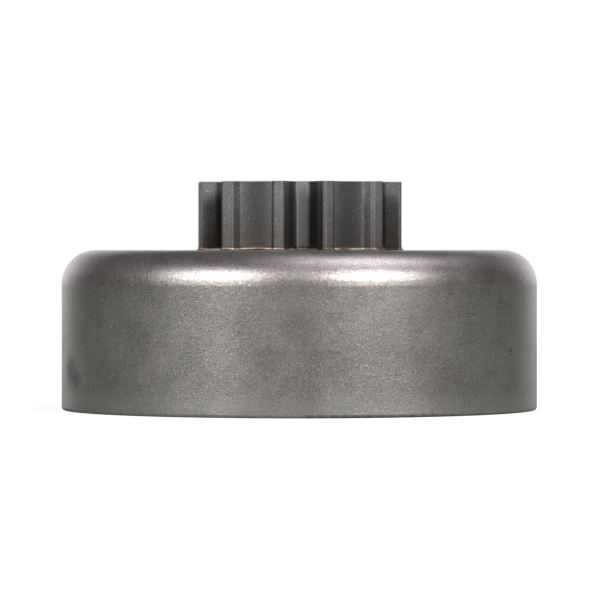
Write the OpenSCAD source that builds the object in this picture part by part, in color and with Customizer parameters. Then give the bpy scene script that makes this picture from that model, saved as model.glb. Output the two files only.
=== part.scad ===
// Clutch drum: a drawn steel cup with a sintered spur sprocket brazed onto its closed face.
// The open rim stands on z = 0, the sprocket points up and everything turns about the z axis.
// A viewer in front of the drum looks along +y.

/* [Drum cup] */
// Outside diameter of the cup
drum_d = 70; // [60:0.5:90]
// Height from the open rim to the closed face
drum_h = 23.5; // [20:0.5:32]
// Thickness of the friction wall
wall_t = 2.5; // [2:0.1:3.2]
// Thickness of the closed face
web_t = 2.5; // [2:0.1:3.2]
// Outside radius of the drawn shoulder
shoulder_r = 5; // [4:0.25:7]
// Radius that rounds the outside of the rim
rim_round = 0.5; // [0.2:0.1:0.8]
// Chamfer at the mouth of the friction wall
mouth_chamfer = 0.5; // [0.2:0.1:0.8]

/* [Chain] */
// Half the distance between three rivets of the driven chain
chain_pitch = 9.32; // [9:0.01:10.3]
// How far inside the rivet line the chain's straps ride on the tooth tips
strap_drop = 2.6; // [2.2:0.05:3.2]

/* [Sprocket] */
// Number of teeth, with a drive slot between each pair
teeth = 6; // [6:1:8]
// Height of the teeth above the closed face
sprocket_h = 10; // [8:0.5:14]
// Angle that the sprocket is turned to on the cup, from a slot that faces the viewer
sprocket_turn = 2.4; // [-30:0.1:30]
// Depth of a drive slot below the flats of the tooth tips
slot_depth = 5; // [4:0.1:5.5]
// Width of a drive slot at its floor
slot_floor_w = 1.8; // [1.4:0.1:2.4]
// Angle of each slot flank from the middle of its slot
flank_angle = 19.3; // [15:0.1:22]
// Radius in the corners of the slot floor
floor_fillet = 0.4; // [0.2:0.05:0.6]
// Radius on the slot corners of a tooth tip
tip_round = 0.4; // [0.2:0.05:0.6]
// Width of the relief in a tooth tip, at its mouth
relief_w = 6.6; // [5:0.1:7]
// Width of the relief at its floor
relief_floor_w = 5.2; // [4:0.1:5.6]
// Depth of the relief
relief_d = 1.6; // [1:0.1:2.4]
// Radius on the mouth corners of the relief
relief_round = 0.6; // [0.2:0.05:0.8]
// Radius in the floor corners of the relief
relief_fillet = 0.4; // [0.2:0.05:0.6]

/* [Bearing and spigot] */
// Diameter of the bore that the needle cage runs in
bore_d = 13; // [12:0.5:14]
// Lead-in chamfer at both ends of the bore
bore_chamfer = 0.4; // [0.2:0.1:0.6]
// Wall of the spigot round the bore
spigot_wall = 2.5; // [2:0.1:3]
// How far the spigot stands out inside the cup
spigot_out = 0.5; // [0.2:0.1:1.2]
// Chamfer on the end of the spigot
spigot_chamfer = 0.3; // [0.1:0.05:0.5]

/* [Braze] */
// Gap round the spigot that the braze fills
braze_gap = 0.05; // [0.03:0.01:0.1]
// Height of the braze fillet on the teeth
braze_h = 0.55; // [0.3:0.05:0.9]
// Width of the braze fillet on the closed face
braze_w = 0.35; // [0.2:0.05:0.5]

/* [Hidden] */
$fn = 180;
overshoot = 1;
arc_steps = 4;
braze_steps = 3;
braze_feather = 0.04;
inner_corner_r = shoulder_r - max(wall_t, web_t);
drum_r = drum_d / 2;
bore_r = bore_d / 2;
spigot_r = bore_r + spigot_wall;
tooth_angle = 360 / teeth;
tip_r = chain_pitch / 2 / tan(tooth_angle / 4) - strap_drop;
slot_floor_r = tip_r - slot_depth;

// Half the width of a drive slot at distance u from the axis, and where its flank meets the flat of the tip
function slot_half(u) = slot_floor_w / 2 + (u - slot_floor_r) * tan(flank_angle);
mouth_u = (tip_r - (slot_floor_w / 2 - slot_floor_r * tan(flank_angle)) * sin(tooth_angle / 2))
  / (cos(tooth_angle / 2) + tan(flank_angle) * sin(tooth_angle / 2));

function turned(p, angle) = [p.x * cos(angle) - p.y * sin(angle), p.x * sin(angle) + p.y * cos(angle)];
function unit(v) = v / norm(v);

// Half a tooth, from the slot on the x axis to the middle of the tooth: [corner, radius that rounds it]
half_tooth = [
  [[slot_floor_r, slot_floor_w / 2], floor_fillet],
  [[mouth_u, slot_half(mouth_u)], tip_round],
  [turned([tip_r, -relief_w / 2], tooth_angle / 2), relief_round],
  [turned([tip_r - relief_d, -relief_floor_w / 2], tooth_angle / 2), relief_fillet]
];
last_half = len(half_tooth) - 1;

// The other half is the first one mirrored in the middle of the tooth
function mirrored(p) = turned([p.x, -p.y], tooth_angle);
whole_tooth = concat(
  half_tooth,
  [for (k = [last_half:-1:0]) [mirrored(half_tooth[k][0]), half_tooth[k][1]]]
);
star = [for (i = [0:teeth - 1], c = whole_tooth) [turned(c[0], i * tooth_angle), c[1]]];

// The corner between a and c, moved outwards with both of its edges by the same distance
function out_normal(a, b) = unit([b.y - a.y, a.x - b.x]);
function moved(a, b, c, distance) =
  let (m = out_normal(a, b), n = out_normal(b, c)) b + distance * (m + n) / (1 + m * n);
function is_outer(a, b, c) = cross(b - a, c - b) > 0;

// The arc that rounds corner b between a and c
function arc(a, b, c, r) =
  let (
    to_a = unit(a - b),
    to_c = unit(c - b),
    half = acos(to_a * to_c) / 2,
    centre = b + unit(to_a + to_c) * r / sin(half),
    start = b + to_a * r / tan(half) - centre,
    sweep = (180 - 2 * half) * sign(cross(c - b, a - b))
  )
  [for (k = [0:arc_steps]) centre + turned(start, sweep * k / arc_steps)];

// The sprocket's outline, grown outwards by a distance
function outline(grow) =
  let (
    count = len(star),
    corners = [for (i = [0:count - 1])
      let (
        a = star[(i + count - 1) % count][0],
        b = star[i][0],
        c = star[(i + 1) % count][0],
        r = star[i][1]
      )
      [moved(a, b, c, grow), is_outer(a, b, c) ? r + grow : max(r - grow, r / 4)]]
  )
  [for (i = [0:count - 1])
    for (p = arc(corners[(i + count - 1) % count][0], corners[i][0], corners[(i + 1) % count][0],
      corners[i][1])) p];

// Places the sprocket's profile on the closed face, with a slot towards the viewer
module on_closed_face() {
  translate([0, 0, drum_h]) rotate(sprocket_turn - 90) children();
}

module cup_section() {
  corner_centre = [drum_r - shoulder_r, drum_h - shoulder_r];
  inner_r = drum_r - wall_t;
  inner_centre = [inner_r - inner_corner_r, drum_h - web_t - inner_corner_r];
  hole_r = spigot_r + braze_gap;
  difference() {
    union() {
      translate([0, rim_round]) square([drum_r, corner_centre.y - rim_round]);
      square([drum_r - rim_round, drum_h - shoulder_r]);
      square([corner_centre.x, drum_h]);
      translate(corner_centre) circle(r = shoulder_r);
      translate([drum_r - rim_round, rim_round]) circle(r = rim_round);
    }
    translate([0, -overshoot]) square([inner_r, inner_centre.y + overshoot]);
    translate([0, -overshoot]) square([inner_centre.x, drum_h - web_t + overshoot]);
    translate(inner_centre) circle(r = inner_corner_r);
    polygon([
      [inner_r - overshoot, -overshoot],
      [inner_r + mouth_chamfer + overshoot, -overshoot],
      [inner_r - overshoot, mouth_chamfer + overshoot]
    ]);
    square([hole_r, drum_h + overshoot]);
  }
}

module drum_cup() {
  color("dimgray") rotate_extrude() cup_section();
}

module spigot() {
  length = web_t + spigot_out;
  translate([0, 0, -length]) {
    cylinder(h = spigot_chamfer, r1 = spigot_r - spigot_chamfer, r2 = spigot_r);
    translate([0, 0, spigot_chamfer]) cylinder(h = length - spigot_chamfer, r = spigot_r);
  }
}

module bore_end() {
  translate([0, 0, -bore_chamfer])
    cylinder(h = bore_chamfer + overshoot, r1 = bore_r, r2 = bore_r + bore_chamfer + overshoot);
}

module drive_sprocket() {
  foot = web_t + spigot_out;
  color("gray") on_closed_face() difference() {
    union() {
      linear_extrude(sprocket_h) polygon(outline(0));
      spigot();
    }
    translate([0, 0, -foot - overshoot]) cylinder(h = foot + sprocket_h + 2 * overshoot, r = bore_r);
    translate([0, 0, sprocket_h]) bore_end();
    translate([0, 0, -foot]) mirror([0, 0, 1]) bore_end();
  }
}

// Width of the braze fillet at a height between its foot at 0 and its top at 1, as a hollow curve
function braze_width(height) = max(braze_w * (1 - sqrt(1 - pow(1 - height, 2))), braze_feather);

module braze_fillet() {
  rings = concat(
    [for (k = [0:braze_steps]) [for (p = outline(braze_width(k / braze_steps)))
      [p.x, p.y, braze_h * k / braze_steps]]],
    [for (z = [braze_h, 0]) [for (p = outline(0)) [p.x, p.y, z]]]
  );
  count = len(rings[0]);
  faces = [for (k = [0:len(rings) - 1], i = [0:count - 1])
    let (up = (k + 1) % len(rings), next = (i + 1) % count)
    each [
      [k * count + i, up * count + next, k * count + next],
      [k * count + i, up * count + i, up * count + next]
    ]];
  color("sienna") on_closed_face() polyhedron(points = [for (ring = rings) each ring], faces = faces);
}

drum_cup();
drive_sprocket();
braze_fillet();
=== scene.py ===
import math

import bmesh
import bpy
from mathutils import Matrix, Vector

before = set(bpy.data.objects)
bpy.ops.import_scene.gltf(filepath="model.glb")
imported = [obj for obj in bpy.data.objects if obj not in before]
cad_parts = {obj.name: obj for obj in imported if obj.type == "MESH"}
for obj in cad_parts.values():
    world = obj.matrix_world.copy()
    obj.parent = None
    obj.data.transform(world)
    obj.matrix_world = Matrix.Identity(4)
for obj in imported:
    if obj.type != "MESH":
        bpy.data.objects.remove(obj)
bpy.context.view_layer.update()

MM = 0.001
PHOTO_SIDE = 600

# The photograph's frame: its scale at the drum's axis, and where the axis and the horizon lie in it
PIXELS_PER_MM = 6.783
AXIS_PIXEL = 299.3
HORIZON_PIXEL = 247.0
RIM_PIXEL = 409.5
CAMERA_DISTANCE = 650 * MM
SENSOR = 36.0

# How much of the floor's white near the drum doesn't depend on light, which leaves the rest to the shadow
NEAR_WHITE = 0.8

# Where the colour bands change, as heights above the rim and distances from the axis
TINT_BOTTOM = 17.5 * MM
TINT_TOP = 21.5 * MM
RIM_BAND = 4.2 * MM
# Painted shade on the sprocket, darker towards the braze, fading out between these heights
LOW_SHADE_BOTTOM = 23.0 * MM
LOW_SHADE_TOP = 33.0 * MM
FLUX_TOP = 27.0 * MM
# Radii of the slot flanks, painted dark as shade, and of the slot floor, painted lighter as light
FLANK_INNER = 10.75 * MM
FLANK_OUTER = 13.0 * MM
SLOT_FLOOR = 10.5 * MM
END_FACE = 33.5 * MM
BRAZE_LINE = 23.68 * MM
# Stains and nicks on the wall: place, reach, colour, strength
WALL_MARKS = (
    ((-33.2 * MM, -11.0 * MM, 6.0 * MM), 3.6 * MM, (0.09, 0.083, 0.08), 0.8),
    ((-32.2 * MM, -13.6 * MM, 4.9 * MM), 2.6 * MM, (0.12, 0.11, 0.10), 0.6),
    ((30.3 * MM, -17.4 * MM, 9.1 * MM), 0.45 * MM, (0.05, 0.045, 0.04), 0.9),
    ((30.25 * MM, -17.5 * MM, 8.6 * MM), 0.35 * MM, (0.05, 0.045, 0.04), 0.8),
)


class Value:
    """A number in a shader tree: Python arithmetic on it adds Math nodes."""

    def __init__(self, tree, socket):
        self.tree = tree
        self.socket = socket

    def math(self, operation, *others, clamp=False):
        inputs = {i: v for i, v in enumerate((self, *others))}
        settings = {"operation": operation, "use_clamp": clamp}
        return self.tree.add("ShaderNodeMath", settings, inputs)

    def __add__(self, other):
        return self.math("ADD", other)

    def __sub__(self, other):
        return self.math("SUBTRACT", other)

    def __rsub__(self, other):
        return (self * -1) + other

    def __mul__(self, other):
        return self.math("MULTIPLY", other)

    def __truediv__(self, other):
        return self.math("DIVIDE", other)

    __radd__ = __add__
    __rmul__ = __mul__

    def rises(self, low, high):
        """0 below low, 1 above high, and smooth between them."""
        inputs = {"Value": self, "From Min": low, "From Max": high}
        return self.tree.add("ShaderNodeMapRange", {"interpolation_type": "SMOOTHSTEP"}, inputs)

    def band(self, low, high, soft):
        """1 between low and high, fading to 0 over soft outside them."""
        return self.rises(low - soft, low) * (1 - self.rises(high, high + soft))

    def clamped(self):
        return self.math("ADD", 0.0, clamp=True)


class Finish:
    """A material's node tree."""

    def __init__(self, name):
        self.material = bpy.data.materials.new(name)
        self.material.use_nodes = True
        self.nodes = self.material.node_tree.nodes
        self.links = self.material.node_tree.links
        self.nodes.clear()
        self.place = self.add("ShaderNodeTexCoord", {}, {}, "Object")

    def add(self, kind, settings, inputs, output=0):
        """A node of one kind, its settings set first, then the values or links of its sockets."""
        node = self.nodes.new(kind)
        for name, value in settings.items():
            if name == "stops":
                self.set_stops(node.color_ramp, value)
            else:
                setattr(node, name, value)
        for name, value in inputs.items():
            socket = node.inputs[name]
            if isinstance(value, Value):
                self.links.new(value.socket, socket)
            else:
                socket.default_value = value
        return Value(self, node.outputs[output]) if len(node.outputs) else None

    def set_stops(self, ramp, stops):
        while len(ramp.elements) < len(stops):
            ramp.elements.new(0.5)
        for element, (position, colour) in zip(ramp.elements, stops):
            element.position = position
            element.color = (*colour, 1.0)

    def noise(self, size, detail=2.0, roughness=0.5, offset=(0, 0, 0), stretch=(1, 1, 1)):
        """Noise from 0 to 1 whose features are about size metres across."""
        inputs = {"Vector": self.place, "Location": offset, "Scale": stretch}
        place = self.add("ShaderNodeMapping", {}, inputs)
        inputs = {"Vector": place, "Scale": 1 / size, "Detail": detail, "Roughness": roughness}
        return self.add("ShaderNodeTexNoise", {}, inputs)

    def axis(self, index):
        return self.add("ShaderNodeSeparateXYZ", {}, {0: self.place}, index)

    def mix(self, factor, a, b, blend="MIX"):
        settings = {"data_type": "RGBA", "blend_type": blend}
        inputs = {0: factor, 6: self.colour(a), 7: self.colour(b)}
        return self.add("ShaderNodeMix", settings, inputs, 2)

    def colour(self, value):
        return value if isinstance(value, Value) or len(value) == 4 else (*value, 1.0)

    def bump(self, height, strength, distance, under=None):
        inputs = {"Height": height, "Strength": strength, "Distance": distance}
        if under is not None:
            inputs["Normal"] = under
        return self.add("ShaderNodeBump", {}, inputs)

    def surface(self, **inputs):
        named = {name.replace("_", " "): value for name, value in inputs.items()}
        shader = self.add("ShaderNodeBsdfPrincipled", {}, named)
        self.add("ShaderNodeOutputMaterial", {}, {"Surface": shader})
        return self.material


def drum_steel():
    f = Finish("drum_steel")
    x, y, z = f.axis(0), f.axis(1), f.axis(2)
    grain = f.noise(0.20 * MM, 3.0, 0.65)
    specks = f.noise(0.26 * MM, 1.0, 0.5, offset=(7, 2, 5))
    pits = f.noise(0.55 * MM, 2.0, 0.5, offset=(3, 1, 2))
    clouds = f.noise(5 * MM, 4.0, 0.6)
    rings = f.noise(0.9 * MM, 3.0, 0.6, stretch=(0.12, 0.12, 1.0))
    colour = f.mix(clouds.rises(0.3, 0.7), (0.36, 0.342, 0.32), (0.435, 0.414, 0.388))
    colour = f.mix(grain.rises(0.50, 0.30) * 0.6, colour, (0.15, 0.143, 0.134))
    colour = f.mix(grain.rises(0.52, 0.70) * 0.75, colour, (0.66, 0.64, 0.60))
    colour = f.mix(specks.rises(0.68, 0.74) * 0.7, colour, (0.9, 0.88, 0.84))
    colour = f.mix(specks.rises(0.31, 0.25) * 0.8, colour, (0.07, 0.066, 0.06))
    colour = f.mix(pits.rises(0.60, 0.78) * 0.4, colour, (0.12, 0.113, 0.105))
    colour = f.mix(rings.rises(0.45, 0.75) * 0.22, colour, (0.5, 0.485, 0.46))
    tint = z.rises(TINT_BOTTOM, TINT_TOP)
    colour = f.mix(tint, colour, f.mix(1.0, colour, (0.965, 0.905, 0.985), "MULTIPLY"))
    near_rim = 1 - (z + (clouds - 0.5) * 3 * MM).rises(1.0 * MM, RIM_BAND)
    colour = f.mix(near_rim * 0.30, colour, (0.62, 0.605, 0.58))
    for (cx, cy, cz), reach, shade, share in WALL_MARKS:
        far = ((x - cx).math("POWER", 2) + (y - cy).math("POWER", 2) + (z - cz).math("POWER", 2)).math("POWER", 0.5)
        ragged = far + (pits - 0.5) * reach
        colour = f.mix((1 - ragged.rises(reach * 0.1, reach)) * share, colour, shade)
    rough = 0.29 + 0.12 * clouds + 0.06 * pits
    normal = f.bump(grain, 0.8, 0.035 * MM)
    normal = f.bump(pits, 0.35, 0.05 * MM, normal)
    return f.surface(Base_Color=colour, Metallic=1.0, Roughness=rough, Normal=normal)


def sintered_steel():
    f = Finish("sintered_steel")
    x, y, z = f.axis(0), f.axis(1), f.axis(2)
    grain = f.noise(0.15 * MM, 2.0, 0.6)
    sparks = f.noise(0.17 * MM, 1.0, 0.5, offset=(1, 4, 2))
    clouds = f.noise(2.4 * MM, 3.0, 0.6)
    radius = (x.math("POWER", 2) + y.math("POWER", 2)).math("POWER", 0.5)
    colour = f.mix(grain.rises(0.35, 0.7), (0.17, 0.168, 0.163), (0.33, 0.326, 0.316))
    colour = f.mix(clouds.rises(0.35, 0.7) * 0.3, colour, (0.14, 0.138, 0.134))
    colour = f.mix(sparks.rises(0.66, 0.74) * 0.8, colour, (0.85, 0.85, 0.82))
    # Painted shade: the sprocket's colour darkens towards the braze to stand in for the shade its lower part gets
    painted_low_shade = 1 - (z + (clouds - 0.5) * 3 * MM).rises(LOW_SHADE_BOTTOM, LOW_SHADE_TOP)
    colour = f.mix(painted_low_shade * 0.62, colour, (0.075, 0.068, 0.062))
    # Painted shade: the slot flanks below the end face are painted nearly black where they lie in shade
    flank_shade = radius.rises(FLANK_INNER - 0.2 * MM, FLANK_INNER) * (1 - radius.rises(FLANK_OUTER, FLANK_OUTER + 0.6 * MM))
    below_end = 1 - z.rises(END_FACE - 0.2 * MM, END_FACE - 0.05 * MM)
    colour = f.mix(flank_shade * below_end * 0.8, colour, (0.03, 0.028, 0.026))
    # Painted light: the slot floor is painted lighter, as if more light reached it
    painted_floor_light = (1 - radius.rises(SLOT_FLOOR, SLOT_FLOOR + 0.1 * MM)) * below_end
    colour = f.mix(painted_floor_light * 0.35, colour, (0.62, 0.615, 0.60))
    flux = (1 - (z + (clouds - 0.5) * 2.5 * MM).rises(FLUX_TOP - 1.2 * MM, FLUX_TOP)) * clouds.rises(0.5, 0.7)
    colour = f.mix(flux * 0.4, colour, (0.15, 0.075, 0.06))
    rough = 0.46 - 0.16 * sparks.rises(0.64, 0.74)
    normal = f.bump(grain, 0.7, 0.03 * MM)
    return f.surface(Base_Color=colour, Metallic=1.0, Roughness=rough, Normal=normal)


def copper_braze():
    f = Finish("copper_braze")
    z = f.axis(2)
    lumps = f.noise(0.5 * MM, 2.0, 0.5)
    runs = f.noise(4.5 * MM, 2.0, 0.5, offset=(2, 5, 1))
    bright = (1 - z.rises(BRAZE_LINE, BRAZE_LINE + 0.15 * MM)) * runs.rises(0.38, 0.6)
    colour = f.mix(lumps, (0.10, 0.075, 0.06), (0.17, 0.12, 0.09))
    colour = f.mix(bright, colour, (0.66, 0.58, 0.52))
    normal = f.bump(lumps, 0.6, 0.1 * MM)
    return f.surface(Base_Color=colour, Metallic=1.0, Roughness=0.45, Normal=normal)


def dress(node, material):
    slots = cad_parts[node].data.materials
    slots.clear()
    slots.append(material)


def photo_camera():
    data = bpy.data.cameras.new("camera")
    camera = bpy.data.objects.new("camera", data)
    bpy.context.scene.collection.objects.link(camera)
    focal_pixels = PIXELS_PER_MM * CAMERA_DISTANCE / MM
    data.sensor_width = SENSOR
    data.lens = focal_pixels * SENSOR / PHOTO_SIDE
    data.clip_start = 0.01
    centre = PHOTO_SIDE / 2
    height = (RIM_PIXEL - HORIZON_PIXEL) / PIXELS_PER_MM * MM
    side = (centre - AXIS_PIXEL) / PIXELS_PER_MM * MM
    tilt = math.atan((centre - HORIZON_PIXEL) / focal_pixels)
    camera.location = (side, -CAMERA_DISTANCE, height)
    camera.rotation_euler = (math.pi / 2 - tilt, 0, 0)
    bpy.context.scene.camera = camera


def softbox(name, azimuth, elevation, distance, width, height, power):
    """A soft lamp that faces the drum: azimuth 0 is beside the camera, positive to its right."""
    data = bpy.data.lights.new(name, "AREA")
    data.shape = "RECTANGLE"
    data.size = width
    data.size_y = height
    data.energy = power
    lamp = bpy.data.objects.new(name, data)
    lamp.visible_camera = False
    bpy.context.scene.collection.objects.link(lamp)
    a = math.radians(azimuth)
    e = math.radians(elevation)
    towards = Vector((math.sin(a) * math.cos(e), -math.cos(a) * math.cos(e), math.sin(e)))
    aim = Vector((0, 0, 15 * MM))
    lamp.location = aim + towards * distance
    lamp.rotation_euler = towards.to_track_quat("Z", "Y").to_euler()


def studio():
    softbox("left_softbox", -42, 29, 0.9, 0.42, 0.34, 5.2)
    softbox("right_softbox", 37, 29, 0.9, 0.44, 0.34, 5.4)
    softbox("top_panel", 82, 71, 0.9, 0.46, 0.46, 2.6)
    softbox("backdrop", 180, 3, 1.1, 1.6, 0.7, 6.0)
    world = bpy.data.worlds.new("studio")
    bpy.context.scene.world = world
    world.use_nodes = True
    nodes = world.node_tree.nodes
    links = world.node_tree.links
    nodes.clear()
    out = nodes.new("ShaderNodeOutputWorld")
    room = nodes.new("ShaderNodeBackground")
    white = nodes.new("ShaderNodeBackground")
    white.inputs["Color"].default_value = (1, 1, 1, 1)
    path = nodes.new("ShaderNodeLightPath")
    mix = nodes.new("ShaderNodeMixShader")
    room.inputs["Color"].default_value = (0.12, 0.12, 0.12, 1)
    links.new(path.outputs["Is Camera Ray"], mix.inputs[0])
    links.new(room.outputs[0], mix.inputs[1])
    links.new(white.outputs[0], mix.inputs[2])
    links.new(mix.outputs[0], out.inputs["Surface"])


def floor():
    bm = bmesh.new()
    bmesh.ops.create_grid(bm, x_segments=1, y_segments=1, size=3.0)
    mesh = bpy.data.meshes.new("floor")
    bm.to_mesh(mesh)
    bm.free()
    plane = bpy.data.objects.new("floor", mesh)
    bpy.context.scene.collection.objects.link(plane)
    f = Finish("floor")
    seen = f.add("ShaderNodeLightPath", {}, {}, "Is Camera Ray")
    x, y = f.axis(0), f.axis(1)
    away = (x.math("POWER", 2) + y.math("POWER", 2)).math("POWER", 0.5)
    white = seen * (NEAR_WHITE + (1 - NEAR_WHITE) * away.rises(0.1, 0.5))
    diffuse = f.add("ShaderNodeBsdfDiffuse", {}, {"Color": (0.3, 0.3, 0.3, 1)})
    glow = f.add("ShaderNodeEmission", {}, {"Color": (1, 1, 1, 1), "Strength": white})
    both = f.add("ShaderNodeAddShader", {}, {0: diffuse, 1: glow})
    f.add("ShaderNodeOutputMaterial", {}, {"Surface": both})
    mesh.materials.append(f.material)


photo_camera()
studio()
floor()
dress("drum_cup", drum_steel())
dress("drive_sprocket", sintered_steel())
dress("braze_fillet", copper_braze())
bpy.context.scene.view_settings.view_transform = "Standard"
